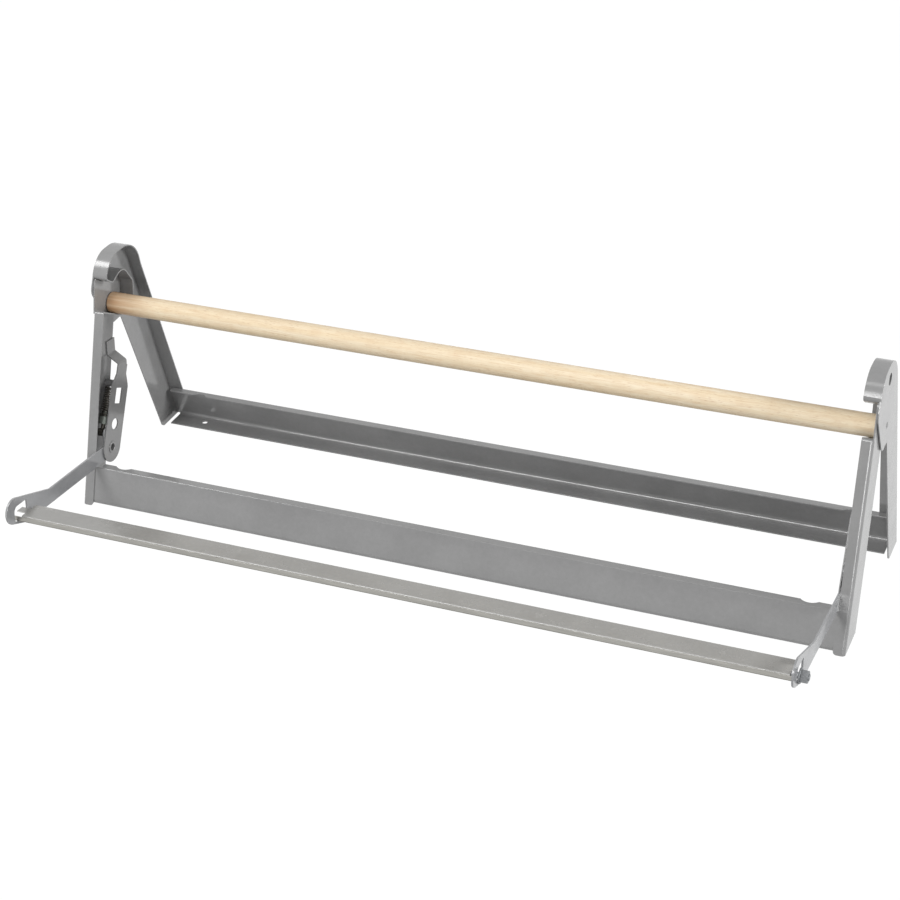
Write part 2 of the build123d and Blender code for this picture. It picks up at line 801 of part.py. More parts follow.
# Blade holder: folded strip between the arms, with a tongue through the left arm's slot
with BuildPart() as blade_holder:
    with BuildSketch(arm_plane(0)):
        with BuildLine():
            FilletPolyline(
                (holder_rear_u, holder_top_w - holder_sheet / 2),
                (holder_front_u - holder_sheet / 2, holder_top_w - holder_sheet / 2),
                (holder_front_u - holder_sheet / 2, holder_low_w),
                radius=holder_bend,
            )
        trace(line_width=holder_sheet)
    extrude(amount=holder_half_length, both=True)
    with BuildSketch(arm_plane(-holder_half_length)):
        with BuildLine():
            Polyline(
                (tab_rear_u, holder_top_w - holder_sheet),
                (tab_front_u, holder_top_w - holder_sheet),
                (tab_front_u, holder_top_w),
                (tab_rear_u, holder_top_w),
                close=True,
            )
        make_face()
    extrude(amount=tab_reach - holder_half_length)
finish(blade_holder.part, "blade_holder")

# Cutter blade: strip on the holder's front, bevelled to its lower edge
with BuildPart() as cutter_blade:
    with BuildSketch(arm_plane(blade_right_reach)):
        with BuildLine():
            Polyline(
                (holder_front_u, blade_high_w),
                (holder_front_u, blade_low_w),
                (holder_front_u + blade_thickness - blade_edge_bevel, blade_low_w),
                (holder_front_u + blade_thickness, blade_low_w + blade_edge_height),
                (holder_front_u + blade_thickness, blade_high_w),
                close=True,
            )
        make_face()
    extrude(amount=blade_right_reach + blade_left_reach)
finish(cutter_blade.part, "cutter_blade")

# Tension stud: spade under the holder's face, round shank through the right arm's slot
with BuildPart() as tension_stud:
    with BuildSketch(arm_plane(stud_end)):
        with Locations((stud_u, stud_w)):
            Circle(stud_radius)
    extrude(amount=stud_end - stud_start)
    with BuildSketch(arm_plane(stud_start + spade_overlap)):
        with Locations((stud_u, holder_top_w - holder_sheet - spade_thickness / 2)):
            Rectangle(spade_width, spade_thickness)
    extrude(amount=stud_start + spade_overlap - spade_start)
finish(tension_stud.part, "tension_stud")

# Washer and hexagon nut outside the right arm
with BuildPart() as stud_washer:
    with BuildSketch(arm_plane(washer_outer_x)):
        with Locations((stud_u, stud_w)):
            Circle(washer_radius)
            Circle(stud_radius + thread_clearance, mode=Mode.SUBTRACT)
    extrude(amount=washer_thickness)
finish(stud_washer.part, "stud_washer")

with BuildPart() as stud_nut:
    with BuildSketch(arm_plane(washer_outer_x + nut_thickness)):
        with Locations((stud_u, stud_w)):
            RegularPolygon(nut_across_flats / 2, 6, major_radius=False)
            Circle(stud_radius + thread_clearance, mode=Mode.SUBTRACT)
    extrude(amount=nut_thickness)
finish(stud_nut.part, "stud_nut")
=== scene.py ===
"""Counter-top paper roll cutter: enamelled sheet steel end frames and rails, a beech roll bar,
a hinged blade bar with its tension nut, and two over-centre springs."""
import math

import bmesh
import bpy
from mathutils import Matrix, Vector


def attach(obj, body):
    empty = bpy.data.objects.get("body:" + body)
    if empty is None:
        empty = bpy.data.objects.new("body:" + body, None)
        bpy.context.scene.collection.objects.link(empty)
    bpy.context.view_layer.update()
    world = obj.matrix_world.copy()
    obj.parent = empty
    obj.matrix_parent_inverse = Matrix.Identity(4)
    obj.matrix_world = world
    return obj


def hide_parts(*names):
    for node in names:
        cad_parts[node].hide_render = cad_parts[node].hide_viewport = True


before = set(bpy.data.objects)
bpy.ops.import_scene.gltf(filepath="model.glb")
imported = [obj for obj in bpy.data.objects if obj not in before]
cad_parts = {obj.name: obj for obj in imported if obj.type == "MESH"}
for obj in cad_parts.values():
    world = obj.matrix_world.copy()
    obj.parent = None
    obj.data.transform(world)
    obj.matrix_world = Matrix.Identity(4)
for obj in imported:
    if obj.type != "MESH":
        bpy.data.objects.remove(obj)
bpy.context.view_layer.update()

MM = 0.001
SIDES = (("left", -1), ("right", 1))

# Sizes of the object in millimetres, the same as in its construction
HALF_WIDTH = 480.0
BAR_AXIS = (-5.0, 223.5)
BAR_RADIUS = 13.0
BAR_HALF_LENGTH = 475.9
BAR_EASE = 1.6
PIVOT = (-70.0, 56.2)
ARM_TILT = math.radians(5.0)
ARM_OUTER_X = 463.6
ARM_CLEARANCE = 0.15
BRACKET_INNER_X = 459.4
EYELET_BORE = 4.4
EYELET_FLARE = 0.5
EYELET_RADIUS = 5.8
EYELET_RIM_RADIUS = 7.6
EYELET_RIM = 0.8
HEAD_INNER_X = 476.4
RIVET_PLACE = (10.7, 217.7)
RIVET_SHANK_RADIUS = 2.5
RIVET_HEAD_RADIUS = 4.0
RIVET_HEAD_HEIGHT = 0.9
SPRING_LINE_X = 468.85
ANCHOR = (-38.3, 128.2)
CRANK = (-74.3, 78.0)
SPRING_RADIUS = 6.1
SPRING_WIRE = 0.85
SPRING_START = 5.5
SPRING_SEAT_GAP = 20.4
SEAT_NECK_REACH = 9.9
STUD_U = 203.8
STUD_W = 3.2
STUD_RADIUS = 3.5
STUD_START = 455.9
STUD_END = 474.5
NUT_FLATS = 13.0
NUT_THICKNESS = 7.5
NUT_START = 465.9

# Details that only the looks have, in millimetres: the coil, the thread, the nut's chamfers and the
# stretch of the roll bar, along X, over which its left end turns brown
SPRING_TURNS = 11.0
SPRING_CLOSED_TURNS = 1.0
CLOSED_TURN_RISE = 2.08
THREAD_PITCH = 1.25
THREAD_DEPTH = 0.35
THREAD_RING_RADIUS = 3.2
THREAD_RUNOUT = 0.5
NUT_CHAMFER_RADIUS = NUT_FLATS / 2 * 0.97
NUT_CHAMFER_ANGLE = math.radians(30)
NUT_BORE_GAP = 0.05
NUT_SINK = 0.6
BROWN_END = (-405.0, -468.0)

# Roundings in millimetres: enamel over sheared edges, outer folds of the press, and small pieces
SHEET_EDGE_ROUND = 0.42
FOLD_ROUND = 1.5
SEAT_ROUND = 0.5
PIN_ROUND = 0.35
HOLDER_ROUND = 0.35
BLADE_ROUND = 0.12
STUD_ROUND = 0.3
ROUND_SEGMENTS = 3

# A face is a plate, a web or a flange when it is broader than this, or when its reach along X
# lies between these two, in millimetres; any other face is the sheared edge of a sheet
BROAD = 3.0
FLANGE_REACH = (5.0, 50.0)

# Angles and distances in millimetres that tell flat from sharp, and one point from two
FLAT_ANGLE = math.radians(0.4)
SHARP_ANGLE = math.radians(32)
SHARP_AFTER_ROUNDING = math.radians(55)
MERGE_SOLID = 0.002
MERGE_TURNED = 0.001

# A face of the blade whose normal points down by more than this gets the painted shade of its underside
UNDERSIDE_NORMAL = -0.3

# Steps round a full turn, along an arc and along the spring's wire
TURNED_STEPS = 48
BAR_STEPS = 96
NUT_STEPS = 72
EASE_STEPS = 5
RIM_STEPS = 6
COIL_STEPS = 600
WIRE_SIDES = 10
THREAD_SIDES = 40
CREST_SIDES = 6

# Camera matched to the photograph, in millimetres and degrees
CAMERA_PLACE = (859.3, -2004.0, 1385.1)
CAMERA_AZIMUTH = 23.99
CAMERA_ELEVATION = 30.474
CAMERA_ROLL = -2.568
CAMERA_LENS = 85.68
CAMERA_SENSOR = 36.0

# Indices of refraction
ENAMEL_IOR = 1.7
WOOD_IOR = 1.5

# Studio: strengths of its white surfaces, and lengths in metres
DOME_STRENGTH = 0.16
FLOOR_GLOW = 1.06
FLOOR_GLOW_SHARE = 0.95
CAMERA_CLIP_END = 100.0
FLOOR_REACH = 40.0
LAMP_TARGET = (0.0, 0.0, 0.15)
LAMPS = (
    # Name, place, size, power in watts and the way that the long side runs
    ("right_side", (3.4, 0.5, 1.5), (1.2, 1.2), 94, (0.0, 1.0, 0.0)),
    ("slanting_bank", (-1.15, -2.1, 2.4), (3.9, 0.8), 92, (2.1, -2.0, -1.4)),
    ("top_front", (-0.2, -1.4, 3.4), (2.6, 0.8), 12, (1.0, 0.0, 0.0)),
    ("low_front", (1.4, -3.0, 0.5), (1.4, 0.5), 19, (1.0, 0.0, 0.0)),
)


# Nodes and colours

# Sockets of a colour mix, which share their names with those of its other kinds
MIX_FIRST, MIX_SECOND, MIX_COLOUR = 6, 7, 2


def linear(code):
    """Linear RGBA of an sRGB hex colour."""
    parts = [int(code[i:i + 2], 16) / 255 for i in (1, 3, 5)]
    return [c / 12.92 if c <= 0.04045 else ((c + 0.055) / 1.055) ** 2.4 for c in parts] + [1.0]


def per_mm(size):
    """Scale of a pattern whose features are that many millimetres apart, on coordinates in metres."""
    return 1.0 / (size * MM)


def give(tree, node, inputs):
    """Gives each of these inputs of a node its value, or links it to another node's output."""
    for socket, source in inputs.items():
        if isinstance(source, bpy.types.NodeSocket):
            tree.links.new(source, node.inputs[socket])
        else:
            node.inputs[socket].default_value = source


def add(tree, kind, settings=None, inputs=None):
    """Adds a node with its own settings and its inputs."""
    made = tree.nodes.new(kind)
    for name, value in (settings or {}).items():
        setattr(made, name, value)
    give(tree, made, inputs or {})
    return made


def maths(tree, operation, *terms, clamp=False):
    """The result of a sum on values and other nodes' outputs."""
    settings = {"operation": operation, "use_clamp": clamp}
    return add(tree, "ShaderNodeMath", settings, dict(enumerate(terms))).outputs["Value"]


def noise(tree, place, size, detail, roughness=0.5, distortion=0.0):
    """Cloudy noise with features of a size in millimetres."""
    return add(tree, "ShaderNodeTexNoise", {}, {
        "Vector": place, "Scale": per_mm(size), "Detail": detail, "Roughness": roughness,
        "Distortion": distortion,
    }).outputs["Fac"]


def cells(tree, place, size):
    """Distance from the middle of scattered cells of a size in millimetres."""
    inputs = {"Vector": place, "Scale": per_mm(size)}
    return add(tree, "ShaderNodeTexVoronoi", {"feature": "F1"}, inputs).outputs["Distance"]


def stretched(tree, place, scale):
    """Coordinates scaled along each axis: below one draws a pattern out."""
    return add(tree, "ShaderNodeMapping", {}, {"Vector": place, "Scale": scale}).outputs["Vector"]


def ranged(tree, value, low, high, first=0.0, last=1.0):
    """A value between low and high turned to one between first and last, and held there."""
    return add(tree, "ShaderNodeMapRange", {}, {
        "Value": value, "From Min": low, "From Max": high, "To Min": first, "To Max": last,
    }).outputs["Result"]


def mixed(tree, share, first, second):
    """Two values in one, with that share of the second."""
    inputs = {"Factor": share, "A": first, "B": second}
    return add(tree, "ShaderNodeMix", {"data_type": "FLOAT"}, inputs).outputs["Result"]


def toned(tree, share, first, second):
    """Two colours in one, each a hex colour or another node's, with that share of the second."""
    first, second = (linear(colour) if isinstance(colour, str) else colour for colour in (first, second))
    inputs = {"Factor": share, MIX_FIRST: first, MIX_SECOND: second}
    return add(tree, "ShaderNodeMix", {"data_type": "RGBA"}, inputs).outputs[MIX_COLOUR]


def begin(name):
    """A new material with its output, its shader and its object coordinates."""
    material = bpy.data.materials.new(name)
    material.use_nodes = True
    tree = material.node_tree
    tree.nodes.clear()
    shader = add(tree, "ShaderNodeBsdfPrincipled")
    add(tree, "ShaderNodeOutputMaterial", {}, {"Surface": shader.outputs["BSDF"]})
    place = add(tree, "ShaderNodeTexCoord").outputs["Object"]
    return material, tree, shader, place


def cover(tree, shader, colour, gloss, height, strength, depth):
    """Gives a shader its colour, its roughness and a relief of a depth in millimetres."""
    bump = add(tree, "ShaderNodeBump", {}, {"Strength": strength, "Distance": depth * MM, "Height": height})
    give(tree, shader, {"Base Color": colour, "Roughness": gloss, "Normal": bump.outputs["Normal"]})


def enamel(name, shade, light, roughness, wear=0.0):
    """Stoved grey enamel on pressed steel: glossy, with a slight orange peel, a faint cloudiness
    from the pigment, a few dust nibs and a smeary gloss where it is handled."""
    material, tree, shader, place = begin(name)
    cloud = noise(tree, place, size=70, detail=3.0, roughness=0.6)
    spot = noise(tree, place, size=5, detail=4.0, roughness=0.7)
    pigment = ranged(tree, mixed(tree, 0.35, cloud, spot), 0.35, 0.65)
    colour = toned(tree, pigment, shade, light)
    if wear:
        # Scuffs where sheet is handled or slides, drawn coarser than real so that they show
        scuff = noise(tree, place, size=16, detail=8.0, roughness=0.75, distortion=0.6)
        colour = toned(tree, ranged(tree, scuff, 0.60, 0.72, last=wear), colour, "#C9C8C4")
    smear = noise(tree, place, size=28, detail=5.0, roughness=0.65)
    gloss = ranged(tree, smear, 0.3, 0.7, roughness - 0.06, roughness + 0.08)
    # Orange peel is about 2 mm across on such enamel; 4 mm shows at this distance
    peel = noise(tree, place, size=4, detail=1.5)
    nibs = ranged(tree, cells(tree, place, size=11), 0.0, 0.09, 0.8, 0.0)
    cover(tree, shader, colour, gloss, maths(tree, "ADD", peel, nibs), strength=0.35, depth=0.12)
    shader.inputs["IOR"].default_value = ENAMEL_IOR
    return material


def turned_beech(name):
    """Turned beech dowel, sanded and left bare: pale cream, fine straight grain along the bar,
    short brown ray flecks, broader tan bands and a browner left end."""
    material, tree, shader, place = begin(name)
    band_place = stretched(tree, place, (0.018, 1.0, 1.0))
    band = noise(tree, band_place, size=7, detail=4.0, roughness=0.6, distortion=0.4)
    # Pores are 0.1 mm wide; they are drawn 0.8 mm wide and 25 mm long so that they show
    grain = noise(tree, stretched(tree, place, (0.03, 1.0, 1.0)), size=0.8, detail=5.0, roughness=0.7)
    fleck = cells(tree, stretched(tree, place, (0.16, 1.0, 1.0)), size=1.7)
    fleck_mask = ranged(tree, fleck, 0.08, 0.24, 0.45, 0.0)
    # Soft pinkish figure, in patches drawn out along the bar, and faint bands across it
    figure = noise(tree, stretched(tree, place, (0.35, 1.0, 1.0)), size=6, detail=3.0, roughness=0.6)
    cross = noise(tree, stretched(tree, place, (1.0, 0.2, 0.2)), size=22, detail=4.0, roughness=0.7)
    figured = ranged(tree, mixed(tree, 0.45, figure, cross), 0.47, 0.66, last=0.3)
    colour = toned(tree, ranged(tree, band, 0.33, 0.68), "#EDDFC5", "#E3CFAD")
    colour = toned(tree, figured, colour, "#D6B58E")
    colour = toned(tree, ranged(tree, grain, 0.47, 0.68, last=0.6), colour, "#C9A67C")
    colour = toned(tree, fleck_mask, colour, "#B48C66")
    # The last 70 mm at the left end turn brown, most where the bands are tan
    along = add(tree, "ShaderNodeSeparateXYZ", {}, {"Vector": place}).outputs["X"]
    end = ranged(tree, along, BROWN_END[0] * MM, BROWN_END[1] * MM, last=0.95)
    browned = maths(tree, "MULTIPLY", maths(tree, "MULTIPLY", end, band), 1.7, clamp=True)
    colour = toned(tree, browned, colour, "#B08A66")
    gloss = ranged(tree, grain, 0.0, 1.0, 0.5, 0.7)
    cover(tree, shader, colour, gloss, maths(tree, "SUBTRACT", grain, fleck_mask), strength=0.4, depth=0.15)
    shader.inputs["IOR"].default_value = WOOD_IOR
    return material


def bare_metal(name, shade, light, roughness, grain, stretch=(1.0, 1.0, 1.0)):
    """Bare or plated steel: a metal whose tone and gloss vary over grains of a size in millimetres,
    drawn out along one way where it is rolled, drawn or turned."""
    material, tree, shader, place = begin(name)
    drawn = stretched(tree, place, stretch)
    cloud = noise(tree, drawn, size=grain * 3, detail=5.0)
    grains = mixed(tree, 0.5, cloud, cells(tree, drawn, size=grain))
    gloss = ranged(tree, cloud, 0.0, 1.0, roughness - 0.07, roughness + 0.1)
    cover(tree, shader, toned(tree, grains, shade, light), gloss, grains, strength=0.25, depth=0.08)
    shader.inputs["Metallic"].default_value = 1.0
    return material


ROLLED_ALONG_X = (0.05, 1.0, 1.0)
frame_enamel = enamel("stoved_grey_enamel", "#828282", "#8D8D8D", 0.16)
# Rounded edges and folds of the frame and arms get a lighter grey: a painted highlight along them, together
# with thinner enamel on the sheared edges
frame_edge_painted_highlight = enamel("stoved_grey_enamel_painted_highlight_and_thin_on_edges", "#989999", "#A4A4A4", 0.16)
arm_enamel = enamel("stoved_grey_enamel_handled", "#858688", "#909193", 0.2, 0.35)
holder_enamel = enamel("warm_grey_enamel_on_the_blade_bar", "#8D8C89", "#989794", 0.24, 0.35)
# Rounded edges of the blade bar are a much lighter grey: a painted highlight along them, with scuffs where
# the enamel is rubbed
holder_edge_painted_highlight = enamel("warm_grey_enamel_rubbed_and_painted_highlight_on_edges", "#C4C3BF", "#D2D1CD", 0.2, 0.6)
beech = turned_beech("turned_beech")
blade_steel = bare_metal("ground_strip_steel", "#8F8E8A", "#B4B2AC", 0.36, 1.2, ROLLED_ALONG_X)
blade_underside_painted_shade = bare_metal("blade_underside_in_painted_shade", "#4E4D47", "#75736C", 0.4, 1.2, ROLLED_ALONG_X)
zinc_plate = bare_metal("dulled_zinc_plate", "#6E7072", "#9A9C9E", 0.5, 1.6)
seat_zinc = bare_metal("dull_zinc_casting", "#666B66", "#8C918B", 0.55, 1.4)
spring_steel = bare_metal("oil_blackened_spring_wire", "#34322F", "#77746D", 0.42, 1.0)


# Meshes

def in_scene(name, data):
    """A new object in the scene, at the origin."""
    thing = bpy.data.objects.new(name, data)
    bpy.context.scene.collection.objects.link(thing)
    return thing


def put(mesh, name, *materials):
    """A new object for a mesh, with its materials and its sharp edges marked."""
    thing = in_scene(name, mesh)
    mesh.materials.clear()
    for material in materials:
        mesh.materials.append(material)
    mesh.shade_smooth()
    mesh.set_sharp_from_angle(angle=SHARP_ANGLE)
    return thing


def plain_mesh(shape, name):
    """Ends the editing of a shape and keeps it as a mesh."""
    mesh = bpy.data.meshes.new(name)
    shape.to_mesh(mesh)
    shape.free()
    return mesh


def as_evaluated(thing):
    """The mesh that an object's modifiers make of it."""
    return bpy.data.meshes.new_from_object(thing.evaluated_get(bpy.context.evaluated_depsgraph_get()))


def settled(thing):
    """Keeps what a piece's modifiers make of it as its plain mesh."""
    mesh = as_evaluated(thing)
    thing.modifiers.clear()
    thing.data = mesh
    return mesh


def is_broad(face):
    """Whether a face is a plate, a web or a flange rather than the sheared edge of one."""
    across = 2.0 * face.calc_area() / face.calc_perimeter()
    reach = max(v.co.x for v in face.verts) - min(v.co.x for v in face.verts)
    return across > BROAD * MM or FLANGE_REACH[0] * MM < reach < FLANGE_REACH[1] * MM


def softened(node, name, materials, width, fold=0.0):
    """A copy of a pressed or cut piece with its edges rounded over by that width, and its outer
    folds, if a width is given for them, rounded by the press. The materials are those of its
    faces and of its rounded edges."""
    shape = bmesh.new()
    shape.from_mesh(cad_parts[node].data)
    bmesh.ops.remove_doubles(shape, verts=shape.verts, dist=MERGE_SOLID * MM)
    bmesh.ops.dissolve_limit(
        shape, angle_limit=FLAT_ANGLE, verts=shape.verts, edges=shape.edges, use_dissolve_boundaries=False
    )
    widest = max(width, fold)
    weights = shape.edges.layers.float.new("bevel_weight_edge")
    for edge in shape.edges:
        if len(edge.link_faces) == 2 and edge.calc_face_angle() > SHARP_ANGLE:
            folded = fold and edge.is_convex and all(is_broad(face) for face in edge.link_faces)
            edge[weights] = (fold if folded else width) / widest
    mesh = plain_mesh(shape, name)
    for face in mesh.polygons:
        face.material_index = 0
    thing = put(mesh, name, *materials)
    rounding = thing.modifiers.new("edge round", "BEVEL")
    rounding.width = widest * MM
    rounding.segments = ROUND_SEGMENTS
    rounding.limit_method = "WEIGHT"
    rounding.material = 1
    rounded = settled(thing)
    rounded.shade_smooth()
    rounded.set_sharp_from_angle(angle=SHARP_AFTER_ROUNDING)
    level = thing.modifiers.new("flat faces stay flat", "WEIGHTED_NORMAL")
    level.keep_sharp = True
    settled(thing)
    return thing


def turned(name, rows, start, direction, side, material):
    """A closed piece round an axis. Each row is an angle from the side given and a profile of
    (distance along the axis, radius) pairs, closed on itself."""
    axis, side = Vector(direction).normalized(), Vector(side).normalized()
    across = axis.cross(side)
    shape = bmesh.new()
    rings = []
    for angle, profile in rows:
        out = side * math.cos(angle) + across * math.sin(angle)
        rings.append([shape.verts.new((Vector(start) + axis * a + out * r) * MM) for a, r in profile])
    for here, there in zip(rings, rings[1:] + rings[:1]):
        for k in range(len(here)):
            after = (k + 1) % len(here)
            shape.faces.new((here[k], there[k], there[after], here[after]))
    bmesh.ops.remove_doubles(shape, verts=shape.verts, dist=MERGE_TURNED * MM)
    bmesh.ops.recalc_face_normals(shape, faces=shape.faces)
    return put(plain_mesh(shape, name), name, material)


def lathe(name, profile, start, direction, material, steps=TURNED_STEPS):
    """A round turned piece with the same profile all the way."""
    rows = [(2 * math.pi * turn / steps, profile) for turn in range(steps)]
    return turned(name, rows, start, direction, Vector(direction).orthogonal(), material)


def arc(centre, radius, first, last, steps):
    """Points of an arc in a profile, angles in degrees."""
    angles = [math.radians(first + (last - first) * k / steps) for k in range(steps + 1)]
    return [(centre[0] + radius * math.cos(a), centre[1] + radius * math.sin(a)) for a in angles]


def place_piece(thing, body, slot, *nodes):
    """Puts a piece on its body and hides the construction pieces that it stands for; the slot is not used.
    """
    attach(thing, body)
    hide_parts(*nodes)


def from_arm(u, w):
    """(Y, Z) of a place in the arm's own frame."""
    return (PIVOT[0] - u * math.cos(ARM_TILT) + w * math.sin(ARM_TILT),
            PIVOT[1] + u * math.sin(ARM_TILT) + w * math.cos(ARM_TILT))


# Pressed and cut pieces

sheet = (frame_enamel, frame_edge_painted_highlight)
blackened = (spring_steel, spring_steel)
plated = (zinc_plate, zinc_plate)
toward_anchor = (Vector(ANCHOR) - Vector(CRANK)).normalized()
for side, sign in SIDES:
    pairs = {}
    for kind, body, materials, width, fold in (
        ("rear_leg", "frame", sheet, SHEET_EDGE_ROUND, FOLD_ROUND),
        ("front_leg", "frame", sheet, SHEET_EDGE_ROUND, FOLD_ROUND),
        ("spring_bracket", "frame", sheet, SHEET_EDGE_ROUND, 0.0),
        ("blade_arm", "cutter", (arm_enamel, frame_edge_painted_highlight), SHEET_EDGE_ROUND, 0.0),
        ("spring_seat", f"{side}_seat", (seat_zinc, spring_steel), SEAT_ROUND, 0.0),
        ("anchor_pin", "frame", (frame_enamel, frame_enamel), PIN_ROUND, 0.0),
        ("crank_pin", "cutter", blackened, PIN_ROUND, 0.0),
    ):
        pairs[kind] = softened(f"{side}_{kind}", f"{kind}_{side}", materials, width, fold)
        place_piece(pairs[kind], body, kind, f"{side}_{kind}")
    # The seat's cup is bare zinc; its neck and eye, nearest the crank, take the dark steel of the spring
    for face in pairs["spring_seat"].data.polygons:
        from_crank = Vector(face.center[1:]) / MM - Vector(CRANK)
        face.material_index = 1 if from_crank.dot(toward_anchor) < SEAT_NECK_REACH else 0

singles = {}
for node, form, body, materials, width, fold in (
    ("front_rail", "channel", "frame", sheet, SHEET_EDGE_ROUND, FOLD_ROUND),
    ("rear_rail", "channel", "frame", sheet, SHEET_EDGE_ROUND, FOLD_ROUND),
    ("blade_holder", "strip", "cutter", (holder_enamel, holder_edge_painted_highlight), HOLDER_ROUND, 0.0),
    ("cutter_blade", "strip", "cutter", (blade_steel, blade_steel), BLADE_ROUND, 0.0),
    ("tension_stud", "shank", "cutter", plated, STUD_ROUND, 0.0),
    ("stud_washer", "ring", "cutter", plated, STUD_ROUND, 0.0),
):
    singles[node] = softened(node, f"{node}_{form}", materials, width, fold)
    place_piece(singles[node], body, node, node)

# The blade's underside, ground to its edge, is painted darker: painted shade on the faces that look down
blade = singles["cutter_blade"].data
blade.materials.append(blade_underside_painted_shade)
for face in blade.polygons:
    if face.normal.z < UNDERSIDE_NORMAL:
        face.material_index = 2


# Turned pieces

ease_radius = BAR_RADIUS - BAR_EASE
ease_x = BAR_HALF_LENGTH - BAR_EASE
bar_profile = (
    [(-BAR_HALF_LENGTH, 0.0)]
    + arc((-ease_x, ease_radius), BAR_EASE, 180, 90, EASE_STEPS)
    + arc((ease_x, ease_radius), BAR_EASE, 90, 0, EASE_STEPS)
    + [(BAR_HALF_LENGTH, 0.0)]
)
roll_bar = lathe("roll_bar_dowel", bar_profile, (0, *BAR_AXIS), (1, 0, 0), beech, BAR_STEPS)
place_piece(roll_bar, "roll_bar", "roll_bar", "roll_bar")

# Hollow rivet of the pivot, with rolled rims on both faces
eyelet_start = BRACKET_INNER_X - EYELET_RIM
eyelet_length = ARM_OUTER_X + ARM_CLEARANCE + EYELET_RIM - eyelet_start
rim = EYELET_RIM / 2
rim_middle = EYELET_RIM_RADIUS - rim
eyelet_profile = (
    [(rim, EYELET_BORE), (eyelet_length - rim, EYELET_BORE)]
    + [(eyelet_length, EYELET_BORE + EYELET_FLARE), (eyelet_length, rim_middle)]
    + arc((eyelet_length - rim, rim_middle), rim, 0, 180, RIM_STEPS)
    + [(eyelet_length - 2 * rim, EYELET_RADIUS), (2 * rim, EYELET_RADIUS)]
    + arc((rim, rim_middle), rim, 0, 180, RIM_STEPS)
    + [(0.0, EYELET_BORE + EYELET_FLARE)]
)

# Rivet of the head, with a low domed head on each side, painted over with the frame. Each head is
# (height, radius) pairs from the sheet to the crown
inner_head = [(0.0, RIVET_HEAD_RADIUS), (0.5, 3.4), (RIVET_HEAD_HEIGHT, 1.6), (RIVET_HEAD_HEIGHT, 0.0)]
outer_head = [(0.0, RIVET_HEAD_RADIUS), (0.4, 3.5), (0.75, 2.4)]
outer_head += [(RIVET_HEAD_HEIGHT, 1.0), (RIVET_HEAD_HEIGHT, 0.0)]
grip = HALF_WIDTH - HEAD_INNER_X
rivet_profile = (
    [(-height, radius) for height, radius in reversed(inner_head)]
    + [(0.0, RIVET_SHANK_RADIUS), (grip, RIVET_SHANK_RADIUS)]
    + [(grip + height, radius) for height, radius in outer_head]
)

for side, sign in SIDES:
    for kind, profile, start in (
        ("pivot_eyelet", eyelet_profile, (sign * eyelet_start, *PIVOT)),
        ("head_rivet", rivet_profile, (sign * HEAD_INNER_X, *RIVET_PLACE)),
    ):
        piece = lathe(f"{kind}_{side}", profile, start, (sign, 0, 0), frame_enamel)
        place_piece(piece, "frame", kind, f"{side}_{kind}")


def hexagon_nut(name):
    """Hexagon nut: flats, corners chamfered at 30 degrees on both faces, and a countersunk bore."""
    bore = STUD_RADIUS + NUT_BORE_GAP
    rows = []
    for turn in range(NUT_STEPS):
        angle = 2 * math.pi * turn / NUT_STEPS
        from_flat = (angle + math.pi / 6) % (math.pi / 3) - math.pi / 6
        flat = NUT_FLATS / 2 / math.cos(from_flat)
        cut = max(0.0, (flat - NUT_CHAMFER_RADIUS) * math.tan(NUT_CHAMFER_ANGLE))
        rows.append((angle, [
            (NUT_SINK, bore), (NUT_THICKNESS - NUT_SINK, bore),
            (NUT_THICKNESS, bore + NUT_SINK), (NUT_THICKNESS, NUT_CHAMFER_RADIUS),
            (NUT_THICKNESS - cut, flat), (cut, flat), (0.0, NUT_CHAMFER_RADIUS), (0.0, bore + NUT_SINK),
        ]))
    start = (NUT_START, *from_arm(STUD_U, STUD_W))
    forward = (0, -math.cos(ARM_TILT), math.sin(ARM_TILT))
    return turned(name, rows, start, (1, 0, 0), forward, zinc_plate)


nut = hexagon_nut("stud_nut_hexagon")
place_piece(nut, "cutter", "stud_nut", "stud_nut")


# Pieces made by geometry nodes

def grown(name, tree, inputs, material):
    """Runs a geometry tree with the given inputs on an empty mesh and keeps what it makes."""
    seed = in_scene(name + "_seed", bpy.data.meshes.new(name + "_seed"))
    made = seed.modifiers.new("tree", "NODES")
    made.node_group = tree
    for item in tree.interface.items_tree:
        if item.item_type == "SOCKET" and item.in_out == "INPUT" and item.name in inputs:
            made[item.identifier] = inputs[item.name]
    mesh = as_evaluated(seed)
    bpy.data.objects.remove(seed)
    mesh.name = name
    return put(mesh, name, material)


def open_tree(name, *labels):
    """A geometry tree with named number inputs, its one geometry output, and those inputs."""
    tree = bpy.data.node_groups.new(name, "GeometryNodeTree")
    tree.interface.new_socket("Geometry", in_out="INPUT", socket_type="NodeSocketGeometry")
    tree.interface.new_socket("Geometry", in_out="OUTPUT", socket_type="NodeSocketGeometry")
    for label in labels:
        tree.interface.new_socket(label, in_out="INPUT", socket_type="NodeSocketFloat")
    given = add(tree, "NodeGroupInput")
    return tree, *(given.outputs[label] for label in labels)


def close_tree(tree, geometry, material):
    """Ends a tree in plain geometry with its material."""
    real = add(tree, "GeometryNodeRealizeInstances", {}, {"Geometry": geometry}).outputs["Geometry"]
    inputs = {"Geometry": real, "Material": material}
    dressed = add(tree, "GeometryNodeSetMaterial", {}, inputs).outputs["Geometry"]
    add(tree, "NodeGroupOutput", {}, {"Geometry": dressed})
    return tree


def circle(tree, radius, sides):
    """A ring of a radius and a number of sides."""
    inputs = {"Resolution": sides, "Radius": radius}
    return add(tree, "GeometryNodeCurvePrimitiveCircle", {"mode": "RADIUS"}, inputs).outputs["Curve"]


